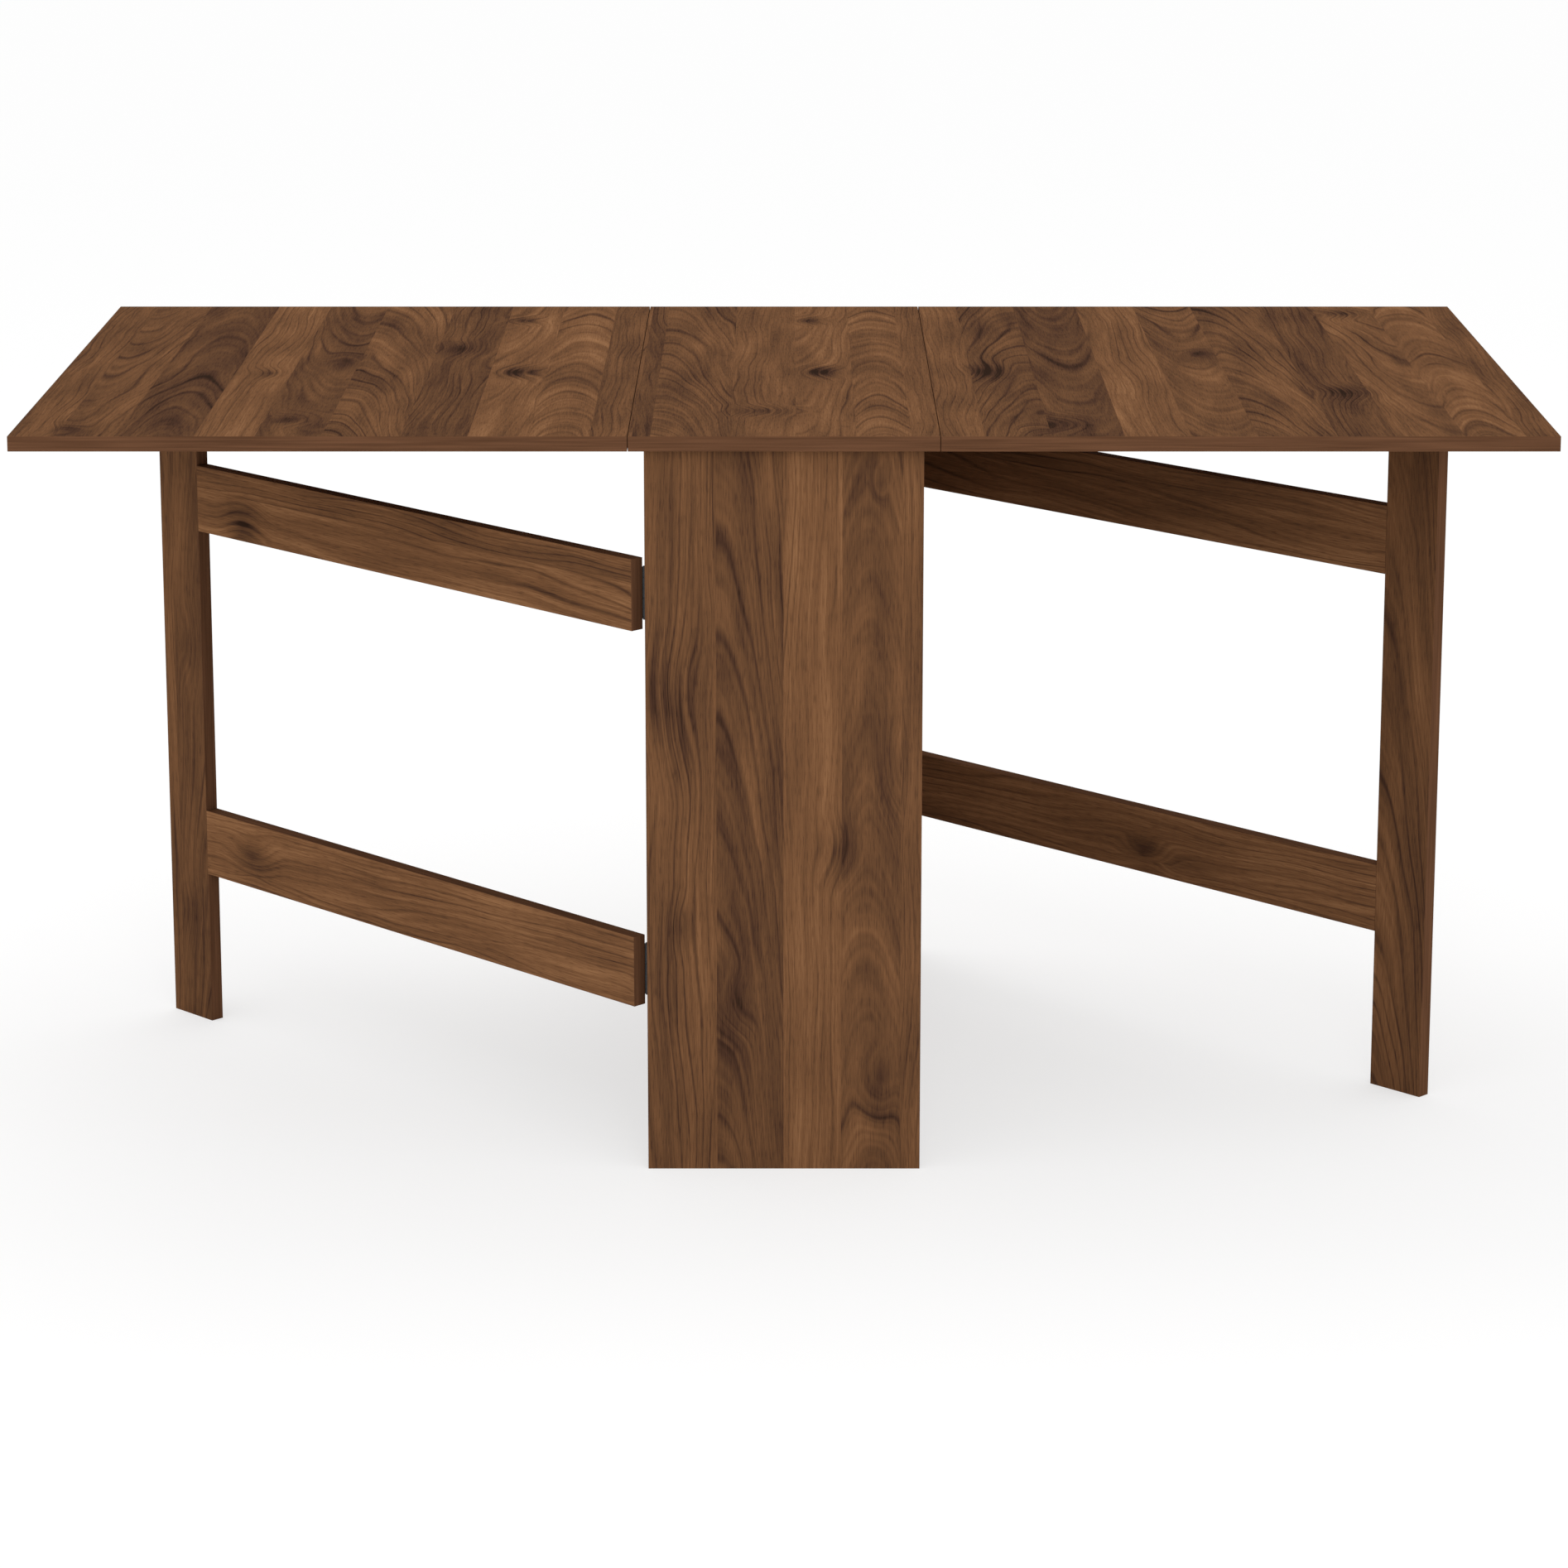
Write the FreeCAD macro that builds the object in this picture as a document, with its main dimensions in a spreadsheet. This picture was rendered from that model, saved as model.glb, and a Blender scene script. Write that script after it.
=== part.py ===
import FreeCAD, Part
import os
import re

from FreeCAD import Placement, Rotation, Vector

# Gate-leg dining table with both leaves raised and both gates swung out.
# X runs along the table, Y from front to back, Z up; the floor is Z = 0 and the
# origin lies under the middle of the top. The back and right pieces are the front
# and left ones given a half turn about Z.

# Sizes in millimetres and degrees
SIZES = {
    # Top
    "table_length": 1500,
    "table_depth": 800,
    "table_height": 750,
    "board_thickness": 15,
    "centre_width": 302,
    "seam_gap": 0.6,
    "edge_round": 0.5,
    # Pedestal
    "end_overhang": 16,
    "pedestal_width": 272,
    "spine_clearance": 60,
    # Gates
    "gate_length": 747,
    "gate_open_angle": 45,
    "gate_stand_off": 3.2,
    "rail_end_gap": 0.5,
    "post_width": 65,
    "post_top_gap": 0.3,
    "post_lead_in": 2,
    "rail_height": 72,
    "upper_rail_drop": 111,
    "lower_rail_base": 168,
    # Butt hinges
    "hinge_length": 52,
    "plate_width": 20,
    "plate_thickness": 1.2,
    "knuckle_count": 5,
    "knuckle_radius": 2.7,
    "knuckle_gap": 0.3,
    "wood_play": 0.3,
    "pin_radius": 1.3,
    "pin_play": 0.05,
    "pin_head_radius": 2,
    "pin_head_height": 0.8,
    "leaf_hinge_pitch": 250,
    # Countersunk hinge screws
    "screw_inset": 12,
    "screw_pitch": 32,
    "screw_length": 13,
    "screw_radius": 1.6,
    "screw_head_radius": 2.9,
    "screw_tip_length": 2.5,
    "screw_tip_radius": 0.3,
    "screw_play": 0.05,
    "pilot_overrun": 0.5,
    "recess_width": 0.7,
    "recess_span": 3.2,
    "recess_depth": 0.7,
    # Gate stop pegs
    "peg_radius": 5,
    "peg_drop": 10,
    "peg_depth": 8,
    "peg_inset": 2,
    "peg_gap": 0.3,
    "peg_play": 0.05,
    # Dowels
    "dowel_radius": 4,
    "dowel_length": 30,
    "dowel_seat": 10,
    "dowel_play": 0.05,
    "dowel_end_gap": 0.5,
    "dowel_pitch": 36,
    # Cam locks and their bolts
    "cam_radius": 7.4,
    "cam_height": 12,
    "cam_setback": 24,
    "cam_play": 0.1,
    "cam_socket_radius": 3.6,
    "cam_slot_width": 1.6,
    "cam_slot_depth": 1.5,
    "bolt_radius": 2.5,
    "bolt_seat": 10.5,
    "bolt_head_radius": 3.3,
    "bolt_head_length": 3,
    "bolt_hole_radius": 4,
    # Where the fittings lie
    "panel_cam_offset": 90,
    "panel_dowel_offset": 45,
    "spine_top_cam_offset": 200,
    "spine_top_dowel_offset": 120,
    "spine_end_cam_rise": 90,
    "spine_end_dowel_rise": 150,
}

# Places worked out from the sizes
PLACES = {
    "underside": "table_height - board_thickness",
    "seam_middle": "centre_width / 2 + seam_gap / 2",
    "leaf_edge": "seam_middle + seam_gap / 2",
    "panel_outer": "table_depth / 2 - end_overhang",
    "panel_inner": "panel_outer - board_thickness",
    "panel_middle": "panel_outer - board_thickness / 2",
    "pin_stand": "knuckle_radius + wood_play",
    "plate_free_face": "pin_stand - plate_thickness",
    "knuckle_length": "(hinge_length - (knuckle_count - 1) * knuckle_gap) / knuckle_count",
    "knuckle_step": "knuckle_length + knuckle_gap",
    "leaf_pin_height": "underside - pin_stand",
    "gate_pin_x": "pedestal_width / 2 + gate_stand_off - pin_stand",
    "gate_pin_y": "panel_inner - pin_stand",
    "gate_turn": "90 + gate_open_angle",
    "upper_rail_base": "underside - upper_rail_drop - rail_height",
    "post_start": "rail_end_gap + gate_length - post_width",
    "peg_along": "post_start + peg_inset",
    "peg_across": "pin_stand + board_thickness + peg_gap + peg_radius",
    "open_sine": "sin(gate_open_angle * 1 deg)",
    "open_cosine": "cos(gate_open_angle * 1 deg)",
    "peg_x": "-gate_pin_x - peg_along * open_sine - peg_across * open_cosine",
    "peg_y": "-gate_pin_y + peg_along * open_cosine - peg_across * open_sine",
    "spine_low_cam": "spine_clearance + spine_end_cam_rise",
    "spine_high_cam": "underside - spine_end_cam_rise",
    "spine_low_dowel": "spine_clearance + spine_end_dowel_rise",
    "spine_high_dowel": "underside - spine_end_dowel_rise",
}

X = Vector(1, 0, 0)
Y = Vector(0, 1, 0)
Z = Vector(0, 0, 1)
UPRIGHT = Rotation()
HALF_TURN = Rotation(Z, 180)
# The cosine past which an edge counts as running along an axis
ALONG = 0.99

doc = FreeCAD.newDocument("GateLegTable")
sheet = doc.addObject("Spreadsheet::Sheet", "Sizes")
for row, (alias, value) in enumerate(SIZES.items(), start=1):
    sheet.set(f"A{row}", alias)
    sheet.set(f"B{row}", str(value))
    sheet.setAlias(f"B{row}", alias)
doc.recompute()


def formula(text):
    """Spells a formula out in the sheet's aliases, with each place as its own formula."""

    def spell(match):
        word = match.group()
        if word in PLACES:
            return f"({formula(PLACES[word])})"
        return f"Sizes.{word}" if word in SIZES else word

    return re.sub(r"[a-z_]+", spell, text)


def facing(along, across):
    """The turn that lays a piece's own X along one direction and its Y along another."""
    return Rotation(along, across, along.cross(across), "XYZ")


def bind(thing, **formulas):
    for name, text in formulas.items():
        thing.setExpression(name, formula(text))


def put(thing, x="0", y="0", z="0", turn=UPRIGHT):
    thing.Placement = Placement(Vector(), turn)
    for axis, text in zip("xyz", (x, y, z)):
        thing.setExpression(f"Placement.Base.{axis}", formula(text))


def put_on_gate(thing, side, z="0"):
    """Sets a piece drawn in the gate's frame (pin on Z, rails along X) in its open place."""
    sign, extra = {"left": ("-", "0"), "right": ("", "180")}[side]
    put(thing, f"{sign}gate_pin_x", f"{sign}gate_pin_y", z, Rotation(Z, 90))
    thing.setExpression("Placement.Rotation.Angle", formula(f"{extra} + gate_turn"))


def shaped(kind, name, where=None, **formulas):
    thing = doc.addObject(kind, name)
    bind(thing, **formulas)
    put(thing, **(where or {}))
    return thing


def box(name, x, y, z, length, width, height):
    where = {"x": x, "y": y, "z": z}
    return shaped("Part::Box", name, where, Length=length, Width=width, Height=height)


def cylinder(name, radius, height, **where):
    return shaped("Part::Cylinder", name, where, Radius=radius, Height=height)


def cone(name, start_radius, end_radius, height, **where):
    return shaped("Part::Cone", name, where, Radius1=start_radius, Radius2=end_radius, Height=height)


def fused(name, pieces):
    union = doc.addObject("Part::MultiFuse", name)
    union.Shapes = pieces
    return union


def cut(name, base, tool):
    rest = doc.addObject("Part::Cut", name)
    rest.Base = base
    rest.Tool = tool
    return rest


def gathered(name, pieces):
    group = doc.addObject("Part::Compound", name)
    group.Links = pieces
    return group


def copy_of(source, name, **where):
    """One more piece of the same shape, in a place of its own."""
    piece = gathered(name, [source])
    put(piece, **where)
    return piece


def copies(source, name, places):
    return [copy_of(source, f"{name}_{i}", **where) for i, where in enumerate(places, start=1)]


def edges_along(shape, axes):
    names = []
    for number, edge in enumerate(shape.Edges, start=1):
        run = edge.Vertexes[1].Point - edge.Vertexes[0].Point
        if any(abs(run.dot(axis)) > ALONG * edge.Length for axis in axes):
            names.append(f"Edge{number}")
    return names


def upper_far_edge(shape):
    """The name of the edge that lies highest and furthest along Y."""
    reach = [edge.CenterOfMass.y + edge.CenterOfMass.z for edge in shape.Edges]
    return f"Edge{reach.index(max(reach)) + 1}"


def board(name, x, y, z, length, width, height, rounded, lead_in=None):
    """A board with its low corner at x, y, z, small rounds on its edges along the given axes, and perhaps
    a lead-in chamfer on its upper edge furthest along Y."""
    body = doc.addObject("PartDesign::Body", f"{name}_blank")
    sawn = body.newObject("PartDesign::AdditiveBox", f"{name}_block")
    bind(sawn, Length=length, Width=width, Height=height)
    put(sawn, x, y, z)
    doc.recompute()
    if lead_in:
        block = sawn
        sawn = body.newObject("PartDesign::Chamfer", f"{name}_lead_in")
        sawn.Base = (block, [upper_far_edge(block.Shape)])
        bind(sawn, Size=lead_in)
        doc.recompute()
    rounds = body.newObject("PartDesign::Fillet", f"{name}_rounds")
    rounds.Base = (sawn, edges_along(sawn.Shape, rounded))
    bind(rounds, Radius="edge_round")
    return body


def drilled(name, blank, holes):
    return cut(name, blank, gathered(f"{name}_holes", holes))


def hinge_plate(name, first_knuckle, wood_side):
    """One plate of a butt hinge: pin on Z, plate out along X, and the wood on its +Y or -Y side."""
    low = {"+": "plate_free_face", "-": "-pin_stand"}[wood_side]
    tab_low = {"+": "knuckle_radius - plate_thickness", "-": "-knuckle_radius"}[wood_side]
    plate = box(
        f"{name}_flat", "pin_stand", low, "-hinge_length / 2",
        "plate_width - pin_stand", "plate_thickness", "hinge_length",
    )
    pieces = [plate]
    for k in range(first_knuckle, SIZES["knuckle_count"], 2):
        start = f"{k} * knuckle_step - hinge_length / 2"
        pieces.append(cylinder(f"{name}_knuckle_{k}", "knuckle_radius", "knuckle_length", z=start))
        pieces.append(
            box(
                f"{name}_tab_{k}", "0", tab_low, start,
                "pin_stand + plate_thickness", "plate_thickness", "knuckle_length",
            )
        )
    bore = cylinder(f"{name}_bore", "pin_radius + pin_play", "hinge_length", z="-hinge_length / 2")
    inward = {"+": facing(X, -Z), "-": facing(X, Z)}[wood_side]
    free_face = {"+": "plate_free_face", "-": "-plate_free_face"}[wood_side]
    sinks = [
        cone(
            f"{name}_countersink_{i}",
            "screw_head_radius + screw_play", "screw_radius + screw_play", "plate_thickness",
            x="screw_inset", y=free_face, z=f"{sign} screw_pitch / 2", turn=inward,
        )
        for i, sign in enumerate("-+", start=1)
    ]
    return cut(name, fused(f"{name}_rolled", pieces), gathered(f"{name}_cuts", [bore, *sinks]))


def hinge_pin():
    """A pin with a flat head past each end knuckle."""
    shank = cylinder("pin_shank", "pin_radius", "hinge_length", z="-hinge_length / 2")
    head_places = {"low": "-hinge_length / 2 - pin_head_height", "high": "hinge_length / 2"}
    heads = [
        cylinder(f"pin_{end}_head", "pin_head_radius", "pin_head_height", z=start)
        for end, start in head_places.items()
    ]
    return fused("pin", [shank, *heads])


def hinge_screw():
    """A countersunk screw along Z, its head flush with Z = 0 and as deep as the hinge plate."""
    head = cone("screw_head", "screw_head_radius", "screw_radius", "plate_thickness")
    shank = cylinder(
        "screw_shank", "screw_radius", "screw_length - plate_thickness - screw_tip_length",
        z="plate_thickness",
    )
    tip = cone(
        "screw_tip", "screw_radius", "screw_tip_radius", "screw_tip_length",
        z="screw_length - screw_tip_length",
    )
    bars = [
        box("recess_bar_x", "-recess_span / 2", "-recess_width / 2", "0",
            "recess_span", "recess_width", "recess_depth"),
        box("recess_bar_y", "-recess_width / 2", "-recess_span / 2", "0",
            "recess_width", "recess_span", "recess_depth"),
    ]
    return cut("screw", fused("screw_body", [head, shank, tip]), fused("recess", bars))


def dowel_and_hole():
    """A dowel along X across the joint at X = 0, seated in a face on the -X side, and its hole."""
    along = facing(Z, Y)
    dowel = cylinder("dowel", "dowel_radius", "dowel_length", x="dowel_length - dowel_seat", turn=along)
    hole = cylinder(
        "dowel_hole", "dowel_radius + dowel_play", "dowel_length + 2 * dowel_end_gap",
        x="dowel_length - dowel_seat + dowel_end_gap", turn=along,
    )
    return dowel, hole


def cam_fitting():
    """A cam lock, its bolt and their holes: the bolt crosses the joint at X = 0, the cam opens on +Y."""
    sideways = facing(X, Z)
    towards_seat = facing(Z, Y)
    back = "board_thickness / 2"
    disc = cylinder("cam_disc", "cam_radius", "cam_height", x="cam_setback", y=back, turn=sideways)
    socket = cylinder("cam_socket", "cam_socket_radius", "cam_radius + bolt_head_length",
                      x="cam_setback + bolt_head_length", turn=towards_seat)
    slot = box("cam_slot", "cam_setback - cam_radius / 2", "board_thickness / 2 - cam_slot_depth",
               "-cam_slot_width / 2", "cam_radius", "cam_slot_depth", "cam_slot_width")
    cam = cut("cam", disc, gathered("cam_cuts", [socket, slot]))
    stud = cylinder("bolt_stud", "bolt_radius", "bolt_seat + cam_setback",
                    x="cam_setback", turn=towards_seat)
    head = cylinder("bolt_head", "bolt_head_radius", "bolt_head_length",
                    x="cam_setback + bolt_head_length / 2", turn=towards_seat)
    bolt = fused("bolt", [stud, head])
    bore = cylinder("cam_bore", "cam_radius + cam_play", "cam_height + cam_play",
                    x="cam_setback", y=back, turn=sideways)
    run = cylinder("bolt_run", "bolt_hole_radius", "cam_setback", x="cam_setback", turn=towards_seat)
    seat = cylinder("bolt_seat_hole", "bolt_radius + cam_play", "bolt_seat + cam_play", turn=towards_seat)
    holes = fused("cam_holes", [bore, run, seat])
    return cam, bolt, holes


nodes = {}


def node(name, piece):
    """Keeps a finished piece under its own name."""
    piece.Label = name
    nodes[name] = piece
    return piece


# Hardware drawn once
fixed_plate = hinge_plate("fixed_plate", 0, "-")
swing_plate = hinge_plate("swing_plate", 1, "+")
pin = hinge_pin()
screw = hinge_screw()
pilot = cylinder("pilot", "screw_radius + screw_play", "screw_length + pilot_overrun")
dowel, dowel_hole = dowel_and_hole()
cam, bolt, cam_holes = cam_fitting()

# Leaf hinges, three to a seam, with the pin just under the seam
LEAF_HINGES = {"front": "-leaf_hinge_pitch", "middle": "0", "back": "leaf_hinge_pitch"}
FAR_NAME = {"front": "back", "middle": "middle", "back": "front"}
for spot, along_y in LEAF_HINGES.items():
    axis_place = {"x": "-seam_middle", "y": along_y, "z": "leaf_pin_height"}
    hardware = {
        "fixed_plate": (fixed_plate, facing(X, -Z)),
        "swing_plate": (swing_plate, facing(-X, Z)),
        "pin": (pin, facing(X, -Z)),
    }
    for kind, (source, turn) in hardware.items():
        left = copy_of(source, f"leaf_left_hinge_{spot}_{kind}", turn=turn, **axis_place)
        node(f"leaf_left_hinge_{spot}_{kind}", left)
        far = f"leaf_right_hinge_{FAR_NAME[spot]}_{kind}"
        node(far, copy_of(left, far, turn=HALF_TURN))

screw_rows = [f"{along_y} {sign} screw_pitch / 2" for along_y in LEAF_HINGES.values() for sign in "-+"]
head_height = "underside - plate_thickness"
leaf_screw_places = [{"x": "-seam_middle - screw_inset", "y": y, "z": head_height} for y in screw_rows]
seam_screw_places = [{"x": "-seam_middle + screw_inset", "y": y, "z": head_height} for y in screw_rows]

# Leaves, each with a peg that its gate opens against
peg_place = {"x": "peg_x", "y": "peg_y", "z": "underside - peg_drop"}
peg = cylinder("leaf_left_stop_peg", "peg_radius", "peg_drop + peg_depth", **peg_place)
peg_hole = cylinder("peg_hole", "peg_radius + peg_play", "peg_drop + peg_depth + peg_play", **peg_place)
leaf_blank = board(
    "leaf", "-table_length / 2", "-table_depth / 2", "underside",
    "table_length / 2 - leaf_edge", "table_depth", "board_thickness", [X, Y, Z],
)
leaf_holes = copies(pilot, "leaf_pilot", leaf_screw_places)
leaf = drilled("leaf_left", leaf_blank, [*leaf_holes, peg_hole])
leaf_screws = gathered("leaf_left_hinge_screws", copies(screw, "leaf_screw", leaf_screw_places))
for name, piece in (("", leaf), ("_stop_peg", peg), ("_hinge_screws", leaf_screws)):
    node(f"leaf_left{name}", piece)
    node(f"leaf_right{name}", copy_of(piece, f"leaf_right{name}", turn=HALF_TURN))

# Gates: rails from the hinges to a post that stands on the floor under the leaf
RAILS = {"upper": "upper_rail_base", "lower": "lower_rail_base"}
into_rail = facing(-X, -Y)
wood_middle = "pin_stand + board_thickness / 2"
gate_pieces = {}
gate_dowel_places = []
gate_screw_places = []
post_blank = board(
    "post", "post_start", "pin_stand", "0",
    "post_width", "board_thickness", "underside - post_top_gap", [Z], "post_lead_in",
)
for rail, base in RAILS.items():
    middle = f"{base} + rail_height / 2"
    dowel_places = [
        {"x": "post_start", "y": wood_middle, "z": f"{middle} {sign} dowel_pitch / 2", "turn": into_rail}
        for sign in "-+"
    ]
    screw_places = [
        {
            "x": "screw_inset",
            "y": "plate_free_face",
            "z": f"{middle} {sign} screw_pitch / 2",
            "turn": facing(X, -Z),
        }
        for sign in "-+"
    ]
    rail_blank = board(
        f"{rail}_rail", "rail_end_gap", "pin_stand", base,
        "post_start - rail_end_gap", "board_thickness", "rail_height", [X],
    )
    rail_holes = copies(dowel_hole, f"{rail}_rail_dowel_hole", dowel_places)
    rail_holes += copies(pilot, f"{rail}_rail_pilot", screw_places)
    gate_pieces[f"{rail}_rail"] = drilled(f"{rail}_rail", rail_blank, rail_holes)
    gate_dowel_places += dowel_places
    gate_screw_places += screw_places
post_holes = copies(dowel_hole, "post_dowel_hole", gate_dowel_places)
gate_pieces["post"] = drilled("post", post_blank, post_holes)
gate_pieces["dowels"] = gathered("gate_dowels", copies(dowel, "gate_dowel", gate_dowel_places))
gate_pieces["hinge_screws"] = gathered("gate_screws", copies(screw, "gate_screw", gate_screw_places))
for side in ("left", "right"):
    for kind, source in gate_pieces.items():
        name = f"gate_{side}_{kind}"
        put_on_gate(node(name, gathered(name, [source])), side)

# Gate hinges: the fixed plate lies on the end panel's inner face, the other on the rail
for rail, base in RAILS.items():
    middle = f"{base} + rail_height / 2"
    pin_place = {"x": "-gate_pin_x", "y": "-gate_pin_y", "z": middle}
    for kind, source in (("fixed_plate", fixed_plate), ("pin", pin)):
        left = copy_of(source, f"gate_left_hinge_{rail}_{kind}", **pin_place)
        node(f"gate_left_hinge_{rail}_{kind}", left)
        far = f"gate_right_hinge_{rail}_{kind}"
        node(far, copy_of(left, far, turn=HALF_TURN))
    for side in ("left", "right"):
        name = f"gate_{side}_hinge_{rail}_swing_plate"
        put_on_gate(node(name, gathered(name, [swing_plate])), side, middle)

panel_screw_places = [
    {
        "x": "-gate_pin_x + screw_inset",
        "y": "-gate_pin_y - plate_free_face",
        "z": f"{base} + rail_height / 2 {sign} screw_pitch / 2",
        "turn": facing(X, Z),
    }
    for base in RAILS.values()
    for sign in "-+"
]

# Pedestal: two end panels and a spine between them, under the fixed middle of the top
into_panel_down = facing(-Z, Y)
into_spine_down = facing(-Z, X)
into_spine_back = facing(Y, X)
panel_cam_places = [
    {"x": f"{sign} panel_cam_offset", "y": "-panel_middle", "z": "underside", "turn": into_panel_down}
    for sign in "-+"
]
panel_dowel_places = [
    {"x": f"{sign} panel_dowel_offset", "y": "-panel_middle", "z": "underside", "turn": into_panel_down}
    for sign in "-+"
]
spine_end_cam_places = [
    {"y": "-panel_inner", "z": z, "turn": into_spine_back} for z in ("spine_low_cam", "spine_high_cam")
]
spine_end_dowel_places = [
    {"y": "-panel_inner", "z": z, "turn": into_spine_back} for z in ("spine_low_dowel", "spine_high_dowel")
]
spine_top_cam_places = [{"y": "-spine_top_cam_offset", "z": "underside", "turn": into_spine_down}]
spine_top_dowel_places = [{"y": "-spine_top_dowel_offset", "z": "underside", "turn": into_spine_down}]

panel_top_holes = copies(cam_holes, "panel_cam_hole", panel_cam_places)
panel_top_holes += copies(dowel_hole, "panel_dowel_hole", panel_dowel_places)
spine_end_holes = copies(cam_holes, "spine_end_cam_hole", spine_end_cam_places)
spine_end_holes += copies(dowel_hole, "spine_end_dowel_hole", spine_end_dowel_places)
spine_top_holes = copies(cam_holes, "spine_top_cam_hole", spine_top_cam_places)
spine_top_holes += copies(dowel_hole, "spine_top_dowel_hole", spine_top_dowel_places)
panel_pilots = copies(pilot, "panel_pilot", panel_screw_places)
seam_pilots = copies(pilot, "seam_pilot", seam_screw_places)


def both_halves(name, pieces):
    """The pieces of the front and left half together with those of the back and right half."""
    half = gathered(f"{name}_half", pieces)
    return [half, copy_of(half, f"{name}_other_half", turn=HALF_TURN)]


panel_blank = board(
    "end_panel", "-pedestal_width / 2", "-panel_outer", "0",
    "pedestal_width", "board_thickness", "underside", [Z],
)
front_panel = drilled("end_panel_front", panel_blank, panel_top_holes + spine_end_holes + panel_pilots)
node("end_panel_front", front_panel)
node("end_panel_back", copy_of(front_panel, "end_panel_back", turn=HALF_TURN))

spine_blank = board(
    "spine_panel", "-board_thickness / 2", "-panel_inner", "spine_clearance",
    "board_thickness", "2 * panel_inner", "underside - spine_clearance", [Y],
)
spine_holes = both_halves("spine_holes", spine_end_holes + spine_top_holes)
node("spine_panel", drilled("spine_panel", spine_blank, spine_holes))

centre_blank = board(
    "top_centre", "-centre_width / 2", "-table_depth / 2", "underside",
    "centre_width", "table_depth", "board_thickness", [X, Y, Z],
)
centre_holes = both_halves("centre_holes", seam_pilots + panel_top_holes + spine_top_holes)
node("top_centre", drilled("top_centre", centre_blank, centre_holes))

cam_places = panel_cam_places + spine_end_cam_places + spine_top_cam_places
dowel_places = panel_dowel_places + spine_end_dowel_places + spine_top_dowel_places
loose_hardware = {
    "cam_locks": (cam, cam_places),
    "cam_bolts": (bolt, cam_places),
    "pedestal_dowels": (dowel, dowel_places),
    "top_hinge_screws": (screw, seam_screw_places),
    "pedestal_hinge_screws": (screw, panel_screw_places),
}
for name, (source, places) in loose_hardware.items():
    node(name, gathered(name, both_halves(name, copies(source, f"{name}_piece", places))))

doc.recompute()
for thing in doc.Objects:
    if "Invalid" in thing.State or "Error" in thing.State:
        raise RuntimeError(f"{thing.Label} did not build: {thing.State}")
for name, piece in nodes.items():
    if piece.Shape.isNull() or not piece.Shape.isValid() or not piece.Shape.Solids:
        raise RuntimeError(f"{name} has no sound shape")

os.makedirs("parts", exist_ok=True)
for name, piece in nodes.items():
    piece.Shape.exportStep(f"parts/{name}.step")
    print(name, len(piece.Shape.Solids), round(piece.Shape.Volume, 1))
print(len(nodes), "nodes")
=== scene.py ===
import math

import bpy
import numpy as np
from mathutils import Matrix, Vector

# Gate-leg dining table in walnut-effect foil, with both leaves raised.
# Metres, X along the table, Y from front to back, Z up, the floor at Z = 0. Patterns are sized in mm.

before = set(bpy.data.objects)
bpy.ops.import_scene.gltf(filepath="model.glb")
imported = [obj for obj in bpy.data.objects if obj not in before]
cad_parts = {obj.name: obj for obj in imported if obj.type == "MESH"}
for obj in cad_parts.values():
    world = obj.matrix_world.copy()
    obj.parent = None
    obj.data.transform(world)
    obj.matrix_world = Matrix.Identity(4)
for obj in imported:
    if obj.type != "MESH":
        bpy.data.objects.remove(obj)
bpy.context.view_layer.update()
scene = bpy.context.scene
scene.view_settings.view_transform = "Standard"

MM = 1000.0
WHITE = (1, 1, 1, 1)


def colour(hex_text):
    """An sRGB hex value turned to linear: c / 12.92 below 0.04045, else ((c + 0.055) / 1.055) ^ 2.4."""
    c = np.array([int(hex_text[i:i + 2], 16) / 255 for i in (1, 3, 5)])
    linear = np.where(c <= 0.04045, c / 12.92, ((c + 0.055) / 1.055) ** 2.4)
    return (*linear.tolist(), 1.0)


def feed(tree, node, inputs):
    """Links each input of a node to an output, or sets it to a plain value."""
    for key, value in inputs.items():
        if isinstance(value, bpy.types.NodeSocket):
            tree.links.new(value, node.inputs[key])
        else:
            node.inputs[key].default_value = value


def add(tree, kind, inputs=None, out=0, **settings):
    """Adds a node with its settings and inputs, and gives one of its outputs."""
    node = tree.nodes.new(kind)
    for name, value in settings.items():
        setattr(node, name, value)
    feed(tree, node, inputs or {})
    return node.outputs[out]


def set_stops(ramp_output, stops, interpolation="LINEAR"):
    """Gives a colour ramp its stops, as pairs of a place from 0 to 1 and a colour."""
    ramp = ramp_output.node.color_ramp
    ramp.interpolation = interpolation
    while len(ramp.elements) < len(stops):
        ramp.elements.new(1.0)
    for element, (place, value) in zip(ramp.elements, stops):
        element.position = place
        element.color = value


def new_material(name):
    """An empty material, its node tree and its shader."""
    material = bpy.data.materials.new(name)
    material.use_nodes = True
    tree = material.node_tree
    return material, tree, tree.nodes["Principled BSDF"]


# Walnut-effect foil: a printed decor of narrow planks pressed on board, with a fine embossed pore.
# The eye sees planks of differing tone, rings that sweep or arch along a plank and bend round dark knots,
# fine fibres, short dark pores and a matt face. Edges carry a plainer banding, its grain along the edge.
FOIL_STOPS = [
    (0.00, colour("#2c1e16")),
    (0.22, colour("#473024")),
    (0.42, colour("#5e412c")),
    (0.60, colour("#714e34")),
    (0.80, colour("#886142")),
    (1.00, colour("#9e7550")),
]
BANDING_STOPS = [
    (0.25, colour("#523726")),
    (0.50, colour("#5e402d")),
    (0.75, colour("#694833")),
]
# Places on FOIL_STOPS of the darkest and the lightest plank, and the least share of the figure
DARK_PLANK = 0.335
LIGHT_PLANK = 0.73
PLAIN_FIGURE = 0.5

# The log that planks are cut from, in mm: its heart's reach aside and depth, and its steepest climb
HEART_REACH = 100.0
HEART_DEPTH = 88.0
STEEPEST = 18.0
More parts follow.
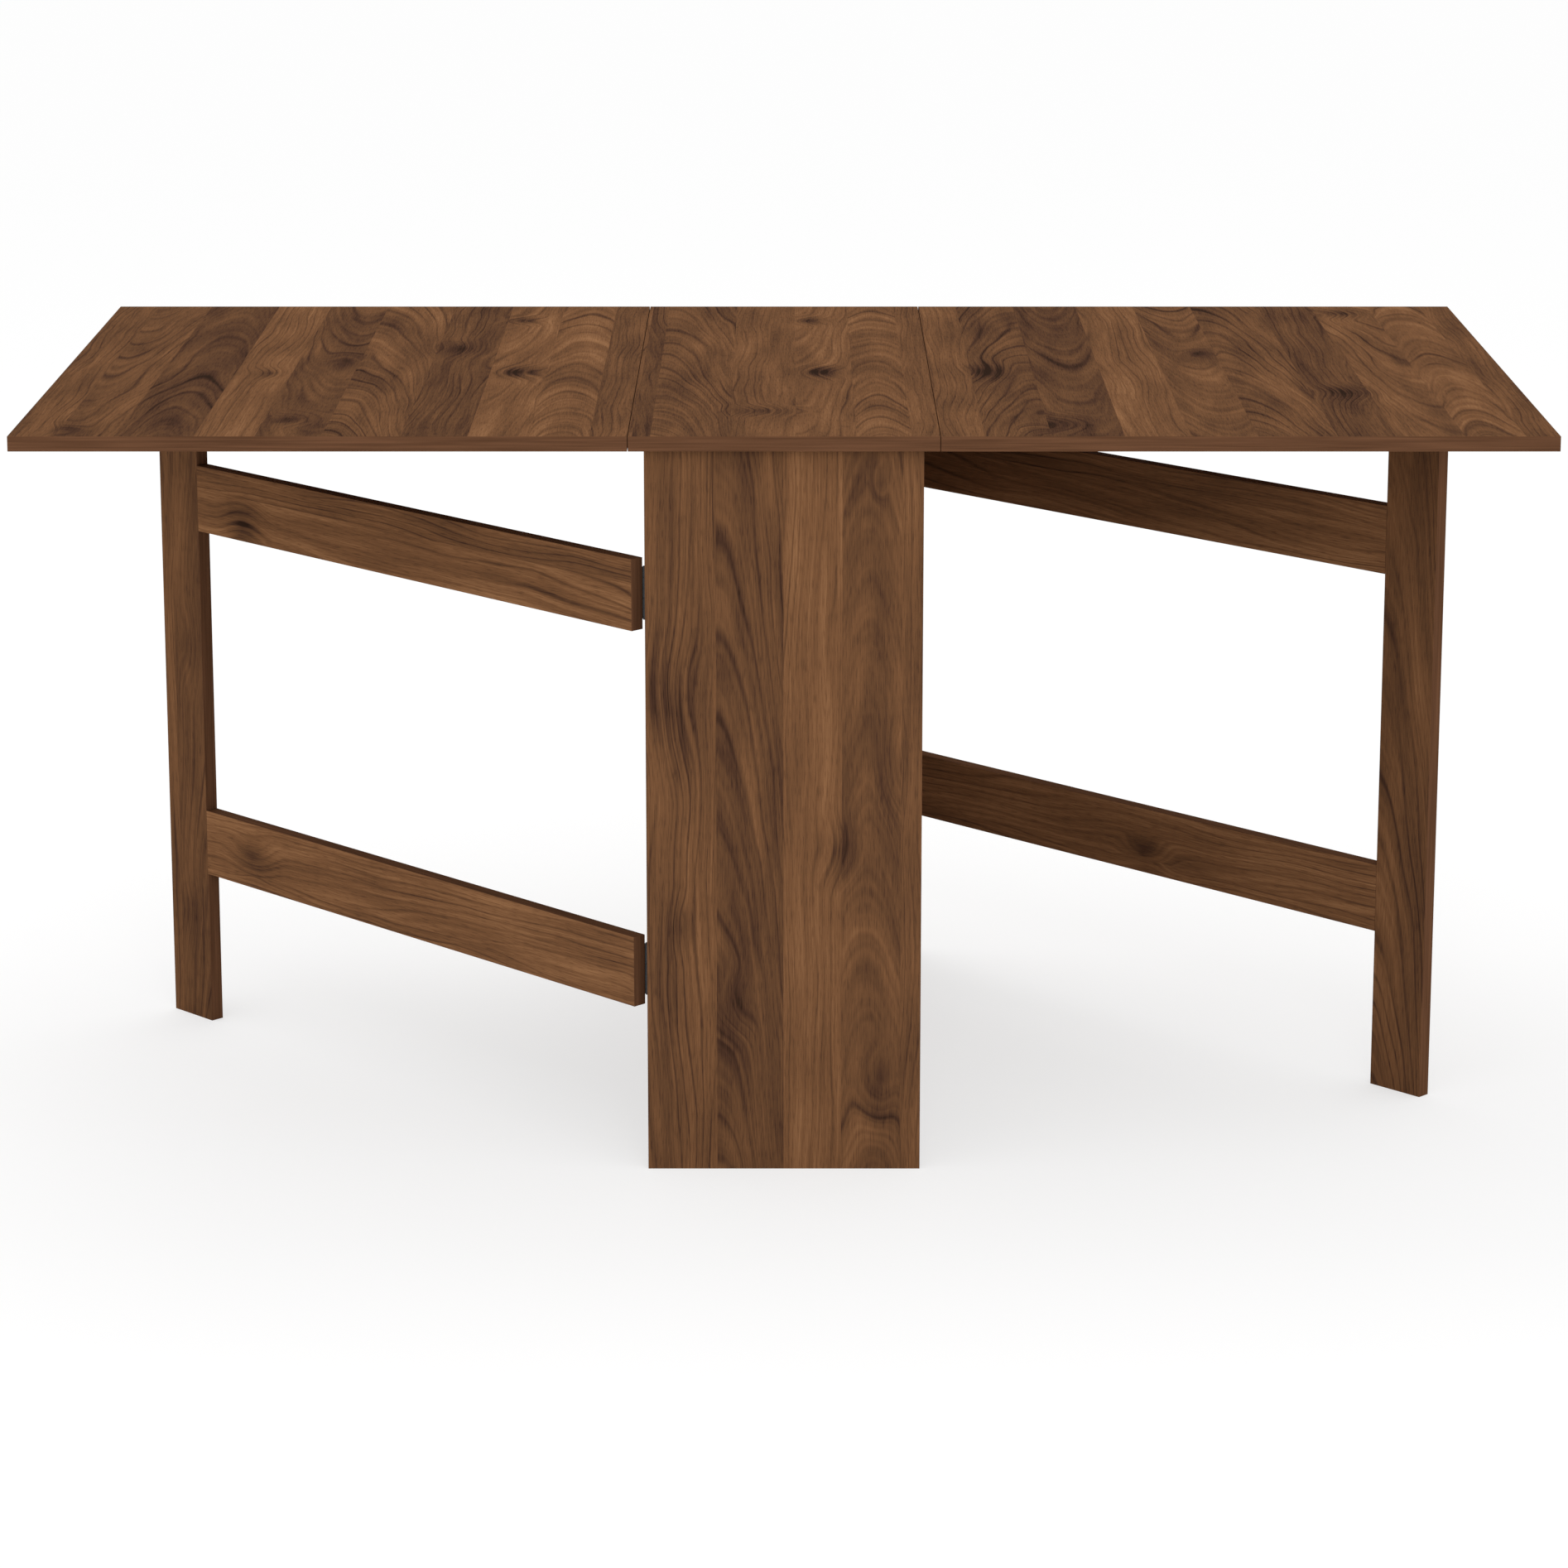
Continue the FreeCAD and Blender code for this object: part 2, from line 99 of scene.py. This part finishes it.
# Stretches of the print, in mm, that set the two sides of the table and the planks apart
SIDE_STRETCH = 3100.0
PLANK_STRETCH = 9700.0

# Sizes of patterns in mm, across the grain and along it
BEND_SIZE = (70.0, 270.0)
UNEVEN_SIZE = (30.0, 420.0)
# Pores are 0.3 mm wide on the real foil and drawn 0.9 mm wide so that they show
PORE_SIZE = (0.9, 16.0)
BANDING_SIZE = (2.6, 120.0)
# Layers of streaks that follow the rings or run straight: width and length in mm, and weight in the tone
RING_LAYERS = ((1.4, 160.0, 0.37), (3.8, 300.0, 0.28), (15.0, 500.0, 0.28))
STRAIGHT_LAYERS = ((1.2, 50.0, 0.23), (34.0, 190.0, 0.36))
# The stains of knots break along the middle one of the ring streaks
KNOT_STREAK_SIZE = RING_LAYERS[1][:2]

# Rings, in mm and in tone
BEND_REACH = 7.0
RING_SPACING = 6.0
RING_DRIFT = 18.0
RING_SHARPNESS = 7.0
FAINT_RING = 0.03
STRONG_RING = 0.27
PORE_TONE = 0.13

# Knots: how far push and stain reach, as multiples of the knot's own size, and how strong they are
PUSH_REACH = 2.6
PUSH = 0.45
STAIN_REACH = 2.3
STAIN_CORE = 0.1
STAIN = 1.35

# Places of a Mix node's numbers and colours among its inputs, and of its colour among its outputs
NUMBER_A, NUMBER_B, COLOUR_A, COLOUR_B = 2, 3, 6, 7
MIXED_COLOUR = 2


def streaks(tree, plane, size, detail=2.0, roughness=0.5):
    """Noise from 0 to 1 that is drawn out along the grain, to a width and a length in mm."""
    width, length = size
    scale = (1 / width, 1 / length, 0)
    drawn = add(tree, "ShaderNodeVectorMath", {0: plane, 1: scale}, operation="MULTIPLY")
    inputs = {"Vector": drawn, "Scale": 1.0, "Detail": detail, "Roughness": roughness}
    return add(tree, "ShaderNodeTexNoise", inputs, noise_dimensions="2D")


def layered(tree, plane, layers, tone):
    """A tone with layers of streaks added, which lighten it as often as they darken it."""
    for width, length, weight in layers:
        layer = streaks(tree, plane, (width, length))
        layer = add(tree, "ShaderNodeMath", {0: layer, 1: 0.5}, operation="SUBTRACT")
        tone = add(tree, "ShaderNodeMath", {0: layer, 1: weight, 2: tone}, operation="MULTIPLY_ADD")
    return tone


def plank_cuts(tree, x, planks):
    """What the plank at x has: tone, figure, seed, heart and climb, and the offset of x from its middle.

    Two stepped ramps along the row of planks hold these as colours, so each is brought to 0 to 1 and back.
    """
    starts = np.array([row[0] for row in planks], float)
    span = float(starts[-1] - starts[0])
    shares = (starts - starts[0]) / span
    middles = (shares[:-1] + shares[1:]) / 2
    looks = []
    cuts = []
    for number, (_, tone, figure, heart, climb) in enumerate(planks[:-1]):
        # Steps of the golden ratio keep the seeds of neighbours apart
        seed = (number * 0.618 + 0.2) % 1.0
        aside = 0.5 + 0.5 * heart / HEART_REACH
        lean = 0.5 + 0.5 * climb / STEEPEST
        looks.append((shares[number], (tone, middles[number], seed, 1.0)))
        cuts.append((shares[number], (aside, lean, figure, 1.0)))
    share = add(tree, "ShaderNodeMapRange", {"Value": x, "From Min": starts[0], "From Max": starts[-1]})
    look = add(tree, "ShaderNodeValToRGB", {"Fac": share})
    set_stops(look, looks, "CONSTANT")
    tone, middle, seed = add(tree, "ShaderNodeSeparateColor", {"Color": look}).node.outputs
    cut = add(tree, "ShaderNodeValToRGB", {"Fac": share})
    set_stops(cut, cuts, "CONSTANT")
    heart, climb, figure = add(tree, "ShaderNodeSeparateColor", {"Color": cut}).node.outputs
    heart = add(tree, "ShaderNodeMapRange", {"Value": heart, "To Min": -HEART_REACH, "To Max": HEART_REACH})
    climb = add(tree, "ShaderNodeMapRange", {"Value": climb, "To Min": -STEEPEST, "To Max": STEEPEST})
    offset = add(tree, "ShaderNodeMath", {0: share, 1: middle}, operation="SUBTRACT")
    offset = add(tree, "ShaderNodeMath", {0: offset, 1: span}, operation="MULTIPLY")
    return tone, figure, seed, heart, climb, offset


def ring_distance(tree, flat, offset, heart, climb, s):
    """r = sqrt(u^2 + HEART_DEPTH^2 + climb s), with u the offset from the heart, bent by slow noise."""
    bend = streaks(tree, flat, BEND_SIZE, roughness=0.4)
    bend = add(tree, "ShaderNodeMapRange", {"Value": bend, "From Min": 0.25, "From Max": 0.75,
                                            "To Min": -BEND_REACH, "To Max": BEND_REACH}, clamp=False)
    u = add(tree, "ShaderNodeMath", {0: offset, 1: heart}, operation="SUBTRACT")
    u = add(tree, "ShaderNodeMath", {0: u, 1: bend}, operation="ADD")
    square = add(tree, "ShaderNodeMath", {0: s, 1: climb, 2: HEART_DEPTH ** 2}, operation="MULTIPLY_ADD")
    square = add(tree, "ShaderNodeMath", {0: u, 1: u, 2: square}, operation="MULTIPLY_ADD")
    return add(tree, "ShaderNodeMath", {0: square}, operation="SQRT")


def knot_marks(tree, place, r, knots):
    """Rings pushed aside by the knots, and the sum of the knots' dark stains, which fade with distance."""
    dark = 0.0
    for across_mm, along_mm, half_width, half_length, darkness in knots:
        scale = (1 / half_width, 1 / half_length, 0)
        shift = (-across_mm / half_width, -along_mm / half_length, 0)
        near = add(tree, "ShaderNodeVectorMath", {0: place, 1: scale, 2: shift}, operation="MULTIPLY_ADD")
        near = add(tree, "ShaderNodeVectorMath", {0: near}, out="Value", operation="LENGTH")
        pushed = {"Value": near, "From Min": PUSH_REACH, "From Max": 0.0, "To Max": half_width * PUSH}
        push = add(tree, "ShaderNodeMapRange", pushed, interpolation_type="SMOOTHERSTEP")
        r = add(tree, "ShaderNodeMath", {0: r, 1: push}, operation="ADD")
        stained = {"Value": near, "From Min": STAIN_REACH, "From Max": STAIN_CORE,
                   "To Max": math.sqrt(STAIN * darkness)}
        stain = add(tree, "ShaderNodeMapRange", stained)
        dark = add(tree, "ShaderNodeMath", {0: stain, 1: stain, 2: dark}, operation="MULTIPLY_ADD")
    return r, dark


def ring_figure(tree, grain, r):
    """Dark ring lines, closer and wider in turn, with the streaks and fibres that follow them.

    A line is the crest of sin(2 pi r / RING_SPACING + drift), raised to RING_SHARPNESS.
    """
    uneven = streaks(tree, grain, UNEVEN_SIZE, detail=1.0)
    turns = add(tree, "ShaderNodeMath", {0: r, 1: 2 * math.pi / RING_SPACING}, operation="MULTIPLY")
    turns = add(tree, "ShaderNodeMath", {0: uneven, 1: RING_DRIFT, 2: turns}, operation="MULTIPLY_ADD")
    crest = add(tree, "ShaderNodeMath", {0: turns}, operation="SINE")
    crest = add(tree, "ShaderNodeMapRange", {"Value": crest, "From Min": -0.2})
    line = add(tree, "ShaderNodeMath", {0: crest, 1: RING_SHARPNESS}, operation="POWER")
    strength = add(tree, "ShaderNodeMapRange", {"Value": uneven, "From Min": 0.35, "From Max": 0.65,
                                                "To Min": -FAINT_RING, "To Max": -STRONG_RING})
    line = add(tree, "ShaderNodeMath", {0: line, 1: strength}, operation="MULTIPLY")
    return layered(tree, grain, RING_LAYERS, line)


def edge_banding(tree, facing, x, y, z):
    """1 where a face looks sideways, and the banding there, whose grain runs along the edge."""
    _, ny, nz = add(tree, "ShaderNodeSeparateXYZ", {"Vector": facing}).node.outputs
    level = add(tree, "ShaderNodeMath", {0: nz}, operation="ABSOLUTE")
    edge = add(tree, "ShaderNodeMapRange", {"Value": level, "From Min": 0.80, "From Max": 0.70})
    end = add(tree, "ShaderNodeMath", {0: ny}, operation="ABSOLUTE")
    end = add(tree, "ShaderNodeMath", {0: end, 1: 0.6}, operation="GREATER_THAN")
    run = add(tree, "ShaderNodeMix", {"Factor": end, NUMBER_A: y, NUMBER_B: x})
    strip = add(tree, "ShaderNodeCombineXYZ", {"X": z, "Y": run})
    strip = streaks(tree, strip, BANDING_SIZE, detail=3.0)
    banding = add(tree, "ShaderNodeValToRGB", {"Fac": strip})
    set_stops(banding, BANDING_STOPS)
    return edge, banding


def walnut_foil(name, across, along, planks, knots=(), half_way=0.0):
    """A plank decor on the plane of two directions.

    planks is a row of (start in mm along the across direction, tone from 0 dark to 1 light, figure from
    0 plain to 1 strong, heart in mm, climb in mm), ended by (end,). Each plank is a cut through a log, with
    rings at steps of r = sqrt(u^2 + HEART_DEPTH^2 + climb s), where u is the distance across from the log's
    heart and s the distance along from half_way, so that each ring is a parabola. A heart inside the plank
    gives arches, one at its edge rings that sweep across it, and one far outside straight grain.
    knots are (across, along, half width, half length, darkness), in mm.
    """
    material, tree, shader = new_material(name)
    through = Vector(across).cross(Vector(along))
    turn = Matrix((across, along, through)).to_euler()
    where = add(tree, "ShaderNodeTexCoord", out="Object")
    face = add(tree, "ShaderNodeTexCoord", out="Normal")
    place = add(tree, "ShaderNodeMapping", {"Vector": where, "Rotation": turn, "Scale": (MM, MM, MM)})
    facing = add(tree, "ShaderNodeMapping", {"Vector": face, "Rotation": turn}, vector_type="VECTOR")
    x, y, z = add(tree, "ShaderNodeSeparateXYZ", {"Vector": place}).node.outputs

    # The plank, and its stretch of the print
    tone, figure, seed, heart, climb, offset = plank_cuts(tree, x, planks)
    side = add(tree, "ShaderNodeMath", {0: z, 1: 0.0}, operation="GREATER_THAN")
    run = add(tree, "ShaderNodeMath", {0: side, 1: SIDE_STRETCH, 2: y}, operation="MULTIPLY_ADD")
    run = add(tree, "ShaderNodeMath", {0: seed, 1: PLANK_STRETCH, 2: run}, operation="MULTIPLY_ADD")
    flat = add(tree, "ShaderNodeCombineXYZ", {"X": offset, "Y": run})

    # Rings, bent round the knots
    s = add(tree, "ShaderNodeMath", {0: y, 1: half_way}, operation="SUBTRACT")
    r = ring_distance(tree, flat, offset, heart, climb, s)
    r, dark = knot_marks(tree, place, r, knots)
    grain = add(tree, "ShaderNodeCombineXYZ", {"X": r, "Y": run})
    pattern = ring_figure(tree, grain, r)
    gain = add(tree, "ShaderNodeMapRange", {"Value": figure, "To Min": PLAIN_FIGURE})

    # Tone of the plank, then the rings, the straight streaks, the pores and the stains of the knots on it
    tone = add(tree, "ShaderNodeMapRange", {"Value": tone, "To Min": DARK_PLANK, "To Max": LIGHT_PLANK})
    tone = add(tree, "ShaderNodeMath", {0: pattern, 1: gain, 2: tone}, operation="MULTIPLY_ADD")
    tone = layered(tree, flat, STRAIGHT_LAYERS, tone)
    pore = streaks(tree, flat, PORE_SIZE, detail=1.0)
    pore = add(tree, "ShaderNodeMapRange", {"Value": pore, "From Min": 0.55, "From Max": 0.70})
    tone = add(tree, "ShaderNodeMath", {0: pore, 1: -PORE_TONE, 2: tone}, operation="MULTIPLY_ADD")
    if knots:
        broken = streaks(tree, grain, KNOT_STREAK_SIZE)
        broken = add(tree, "ShaderNodeMapRange", {"Value": broken, "From Min": 0.66, "From Max": 0.34,
                                                  "To Min": 0.45, "To Max": 1.55})
        dark = add(tree, "ShaderNodeMath", {0: dark, 1: broken}, operation="MULTIPLY")
        tone = add(tree, "ShaderNodeMath", {0: tone, 1: dark}, operation="SUBTRACT")
    foil = add(tree, "ShaderNodeValToRGB", {"Fac": tone})
    set_stops(foil, FOIL_STOPS)

    edge, banding = edge_banding(tree, facing, x, y, z)
    mixed = add(tree, "ShaderNodeMix", {"Factor": edge, COLOUR_A: foil, COLOUR_B: banding},
                out=MIXED_COLOUR, data_type="RGBA")
    rough = add(tree, "ShaderNodeMapRange", {"Value": tone, "From Min": 0.2, "From Max": 0.8,
                                             "To Min": 0.72, "To Max": 0.62})
    height = add(tree, "ShaderNodeMath", {0: pore, 1: -1.0}, operation="MULTIPLY")
    bump = add(tree, "ShaderNodeBump", {"Height": height, "Strength": 0.12, "Distance": 0.0002})
    # The lacquer is so matt that the top stays dark at a low angle: almost no mirror light is left
    feed(tree, shader, {"Base Color": mixed, "Roughness": rough, "Normal": bump,
                        "Specular IOR Level": 0.001})
    return material


# Rows of planks: start, tone, figure, heart, climb. Knots: across, along, half width, half length, darkness
TOP_PLANKS = [
    (-752, 0.34, 0.4, 90, 2), (-733, 0.46, 0.4, 80, 2), (-710, 0.40, 0.8, -20, -8),
    (-650, 0.10, 0.7, 10, 7), (-573, 0.64, 0.5, 85, 2), (-512, 0.24, 0.8, 20, -9),
    (-448, 0.40, 1.0, -36, 14), (-372, 0.16, 0.6, 80, 3), (-308, 0.64, 0.7, -30, -6),
    (-250, 0.58, 1.0, 4, 12), (-188, 0.38, 0.4, 90, 2), (-152, 0.10, 0.6, -60, 6),
    (-130, 0.36, 1.0, -36, 14), (-57, 0.50, 0.3, 85, 2), (7, 0.64, 0.7, -30, -6),
    (65, 0.58, 1.0, 4, 12), (118, 0.48, 0.4, 90, 2), (152, 0.50, 0.4, 85, 2),
    (193, 0.26, 1.0, 34, 13), (253, 0.08, 0.8, 8, -7), (328, 0.64, 0.5, -85, 2),
    (390, 0.40, 0.8, 12, -11), (455, 0.36, 1.0, -36, 12), (532, 0.16, 0.6, 80, 3),
    (593, 0.52, 0.8, 34, -9), (655, 0.62, 1.0, 0, 11), (715, 0.40, 0.4, 90, 2),
    (752,),
]
TOP_KNOTS = [
    (-276, -35, 19, 28, 0.42), (38, -35, 19, 28, 0.42), (-288, 300, 17, 20, 0.24),
    (28, 300, 17, 20, 0.24), (-462, 30, 11, 44, 0.14), (-535, -42, 16, 22, 0.16),
    (210, -32, 15, 40, 0.26), (625, 350, 20, 24, 0.26), (570, -155, 22, 30, 0.26),
    (440, 80, 12, 24, 0.16), (-480, -305, 15, 26, 0.18), (-20, -262, 26, 20, 0.16),
    (-345, 110, 22, 34, 0.20), (-700, -370, 14, 24, 0.22), (270, -330, 20, 30, 0.18),
]
PANEL_PLANKS = [
    (-136, 0.50, 0.9, -85, 2), (-67.7, 0.25, 1.0, -36, 12), (-1, 0.72, 0.3, 85, 2),
    (57, 0.35, 1.0, -2, 11), (115.5, 0.48, 0.3, 85, 2),
    (137,),
]
PANEL_KNOTS = [
    (-112, 480, 20, 50, 0.37), (-104, 250, 9, 20, 0.11), (108, 415, 11, 32, 0.26),
    (52, 330, 14, 22, 0.22), (92, 84, 13, 30, 0.17), (93, 700, 5, 12, 0.12),
    (-50, 170, 14, 22, 0.07),
]
SPINE_PLANKS = [
    (-370, 0.50, 0.4, 85, 2), (-300, 0.70, 0.9, -34, 12), (-238, 0.35, 0.8, 6, -9),
    (-170, 0.60, 0.3, 85, 2), (-105, 0.25, 0.8, 36, 11), (-40, 0.66, 0.3, -85, 2),
    (25, 0.45, 1.0, -2, 11), (92, 0.60, 0.4, 85, 2), (155, 0.30, 0.9, -36, -12),
    (222, 0.70, 0.3, 85, 2), (290, 0.46, 0.9, 5, 10),
    (370,),
]
# The rails' plank tones are set lighter than the other boards' as painted light, lifting the shade they sit
# in under the top; their figure, hearts and knots are the grain
RAIL_PLANKS_LIGHTENED_FOR_SHADE = [
    (160, 0.72, 0.8, 85, 2), (182, 0.84, 0.9, -62, 5), (250, 0.60, 1.0, 20, -8),
    (540, 0.78, 1.0, 58, 5), (597, 0.58, 1.0, 80, 3),
    (640,),
]
RAIL_KNOTS = [(572, 442, 17, 24, 0.32), (205, 440, 16, 26, 0.20), (188, -203, 15, 24, 0.18)]
POST_PLANKS = [
    (-600, 0.48, 0.8, 36, 14), (-500, 0.44, 0.4, 85, 2), (515, 0.30, 0.6, -40, 8),
    (566, 0.42, 0.4, 85, 2),
    (600,),
]
POST_KNOTS = [(540, 420, 12, 30, 0.14), (548, 120, 10, 24, 0.16)]

# Directions of the grain. At rest the left gate points outwards and back at 45 degrees
ALONG = (1, 0, 0)
BACK = (0, 1, 0)
UP = (0, 0, 1)
OUT = (-math.sqrt(0.5), math.sqrt(0.5), 0)
# Half-way heights of the upright boards, in mm
UPRIGHT_MIDDLE = 367.0
SPINE_MIDDLE = 397.0
walnut = {
    "top": walnut_foil("walnut_foil_top", ALONG, BACK, TOP_PLANKS, TOP_KNOTS),
    "panel": walnut_foil("walnut_foil_panel", ALONG, UP, PANEL_PLANKS, PANEL_KNOTS, UPRIGHT_MIDDLE),
    "spine": walnut_foil("walnut_foil_spine", BACK, UP, SPINE_PLANKS, half_way=SPINE_MIDDLE),
    "rail": walnut_foil("walnut_foil_rail", UP, OUT, RAIL_PLANKS_LIGHTENED_FOR_SHADE, RAIL_KNOTS),
    "post": walnut_foil("walnut_foil_post", OUT, UP, POST_PLANKS, POST_KNOTS, UPRIGHT_MIDDLE),
}


# Fittings: steel, zinc, beech and plastic, each with a fine mottle sized in mm
def painted_steel():
    """Dark grey powder coat on rolled steel: an even satin colour over a fine orange-peel of about 1 mm."""
    material, tree, shader = new_material("powder_coated_steel")
    where = add(tree, "ShaderNodeTexCoord", out="Object")
    peel = add(tree, "ShaderNodeTexNoise", {"Vector": where, "Scale": MM / 1.0, "Detail": 2.0})
    tint = add(tree, "ShaderNodeValToRGB", {"Fac": peel})
    set_stops(tint, [(0.3, colour("#36393c")), (0.7, colour("#44484b"))])
    sheen = add(tree, "ShaderNodeMapRange", {"Value": peel, "From Min": 0.3, "From Max": 0.7,
                                             "To Min": 0.40, "To Max": 0.52})
    bump = add(tree, "ShaderNodeBump", {"Height": peel, "Strength": 0.15, "Distance": 0.0001})
    feed(tree, shader, {"Base Color": tint, "Roughness": sheen, "Normal": bump, "Specular IOR Level": 0.3})
    return material


def mottled_zinc(name, darker, lighter, rough, grit_mm):
    """Zinc, plated or cast, mottled at the given grit, which the eye sees as a broken sheen."""
    material, tree, shader = new_material(name)
    where = add(tree, "ShaderNodeTexCoord", out="Object")
    mottle = add(tree, "ShaderNodeTexNoise", {"Vector": where, "Scale": MM / grit_mm, "Detail": 3.0})
    tint = add(tree, "ShaderNodeValToRGB", {"Fac": mottle})
    set_stops(tint, [(0.3, colour(darker)), (0.7, colour(lighter))])
    sheen = add(tree, "ShaderNodeMapRange", {"Value": mottle, "From Min": 0.3, "From Max": 0.7,
                                             "To Min": rough - 0.08, "To Max": rough + 0.10})
    bump = add(tree, "ShaderNodeBump", {"Height": mottle, "Strength": 0.1, "Distance": 0.0001})
    feed(tree, shader, {"Base Color": tint, "Roughness": sheen, "Normal": bump, "Metallic": 1.0})
    return material


def turned_beech():
    """Turned beech: pale, with short darker flecks a few millimetres long."""
    material, tree, shader = new_material("turned_beech")
    where = add(tree, "ShaderNodeTexCoord", out="Object")
    fleck = add(tree, "ShaderNodeTexNoise", {"Vector": where, "Scale": MM / 2.5, "Detail": 3.0})
    tint = add(tree, "ShaderNodeValToRGB", {"Fac": fleck})
    set_stops(tint, [(0.35, colour("#b58a5c")), (0.65, colour("#d0a878"))])
    feed(tree, shader, {"Base Color": tint, "Roughness": 0.6})
    return material


def moulded_plastic():
    """Moulded brown polypropylene: an even colour under a fine spark-eroded grain."""
    material, tree, shader = new_material("moulded_polypropylene")
    where = add(tree, "ShaderNodeTexCoord", out="Object")
    grit = add(tree, "ShaderNodeTexNoise", {"Vector": where, "Scale": MM / 0.7, "Detail": 2.0})
    tint = add(tree, "ShaderNodeValToRGB", {"Fac": grit})
    set_stops(tint, [(0.3, colour("#33241b")), (0.7, colour("#3d2c21"))])
    bump = add(tree, "ShaderNodeBump", {"Height": grit, "Strength": 0.2, "Distance": 0.0001})
    feed(tree, shader, {"Base Color": tint, "Roughness": 0.5, "Normal": bump})
    return material


hinge_steel = painted_steel()
screw_zinc = mottled_zinc("bright_zinc_plated_steel", "#a8a7a1", "#c4c3bd", rough=0.30, grit_mm=0.8)
cam_zinc = mottled_zinc("die_cast_zinc", "#97989a", "#b4b5b7", rough=0.46, grit_mm=0.6)
dowel_beech = turned_beech()
peg_plastic = moulded_plastic()


def finish_of(node):
    """The finish that a CAD node takes, by its name."""
    if node in ("top_centre", "leaf_left", "leaf_right"):
        return walnut["top"]
    if node.startswith("end_panel"):
        return walnut["panel"]
    if node == "spine_panel":
        return walnut["spine"]
    if node.endswith("_rail"):
        return walnut["rail"]
    if node.endswith("_post"):
        return walnut["post"]
    if node.endswith("screws"):
        return screw_zinc
    if node.startswith("cam_"):
        return cam_zinc
    if node.endswith("dowels"):
        return dowel_beech
    if node.endswith("peg"):
        return peg_plastic
    return hinge_steel


for name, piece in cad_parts.items():
    piece.data.materials.clear()
    piece.data.materials.append(finish_of(name))

# Stage: a pale floor that keeps the soft shadow, white light all round, two soft boxes and the camera
FLOOR_HALF = 30.0
FLOOR_WHITE = 0.60
SURROUND_LEVEL = 0.97
LIT_PLACE = Vector((0, 0, 0.5))


def seen_directly(tree):
    """1 for what the camera, a mirror or glass shows, and 0 for light on its way to a surface."""
    ray = add(tree, "ShaderNodeLightPath").node.outputs
    seen = add(tree, "ShaderNodeMath", {0: ray["Is Camera Ray"], 1: ray["Is Glossy Ray"]},
               operation="MAXIMUM")
    return add(tree, "ShaderNodeMath", {0: seen, 1: ray["Is Transmission Ray"]}, operation="MAXIMUM")


def pale_floor():
    """A square that is matt for the light. The eye sees a mix of that and white, so its shadow is soft."""
    corners = [(x * FLOOR_HALF, y * FLOOR_HALF, 0) for x, y in ((-1, -1), (1, -1), (1, 1), (-1, 1))]
    mesh = bpy.data.meshes.new("floor")
    mesh.from_pydata(corners, [], [(0, 1, 2, 3)])
    floor = bpy.data.objects.new("floor", mesh)
    scene.collection.objects.link(floor)
    material, tree, shader = new_material("pale_studio_floor")
    tree.nodes.remove(shader)
    share = add(tree, "ShaderNodeMath", {0: seen_directly(tree), 1: FLOOR_WHITE}, operation="MULTIPLY")
    matt = add(tree, "ShaderNodeBsdfDiffuse", {"Color": colour("#fefefe")})
    white = add(tree, "ShaderNodeEmission", {"Color": WHITE, "Strength": 1.0})
    both = add(tree, "ShaderNodeMixShader", {0: share, 1: matt, 2: white})
    feed(tree, tree.nodes["Material Output"], {"Surface": both})
    mesh.materials.append(material)


def white_surround():
    """Even light from all round, shown to the eye as plain white."""
    world = bpy.data.worlds.new("white_surround")
    world.use_nodes = True
    scene.world = world
    tree = world.node_tree
    level = add(tree, "ShaderNodeMapRange", {"Value": seen_directly(tree), "To Min": SURROUND_LEVEL})
    feed(tree, tree.nodes["Background"], {"Color": WHITE, "Strength": level})


def soft_box(name, place, size, power):
    """A round lamp that looks at the middle of the table."""
    lamp = bpy.data.lights.new(name, "AREA")
    lamp.shape = "DISK"
    lamp.size = size
    lamp.energy = power
    box = bpy.data.objects.new(name, lamp)
    box.location = place
    box.rotation_euler = (LIT_PLACE - Vector(place)).to_track_quat("-Z", "Y").to_euler()
    scene.collection.objects.link(box)


pale_floor()
white_surround()
soft_box("soft_box_above", place=(-0.5, 1.5, 3.8), size=2.4, power=23.0)
soft_box("soft_box_front", place=(0.4, -4.4, 2.4), size=2.0, power=34.0)

# The camera looks down on the front as the photograph does, with a focal length in the photograph's pixels
FRAME_PIXELS = 1894
FOCAL_PIXELS = 5690.0
SENSOR_MM = 36.0
CAMERA_PLACE = (0.0, -4.872, 1.5845)
CAMERA_PITCH = 12.89
CAMERA_SHIFT = -0.1
camera_data = bpy.data.cameras.new("camera")
camera_data.sensor_width = SENSOR_MM
camera_data.lens = SENSOR_MM * FOCAL_PIXELS / FRAME_PIXELS
camera_data.shift_y = CAMERA_SHIFT
camera = bpy.data.objects.new("camera", camera_data)
camera.location = CAMERA_PLACE
camera.rotation_euler = (math.radians(90 - CAMERA_PITCH), 0.0, 0.0)
scene.collection.objects.link(camera)
scene.camera = camera
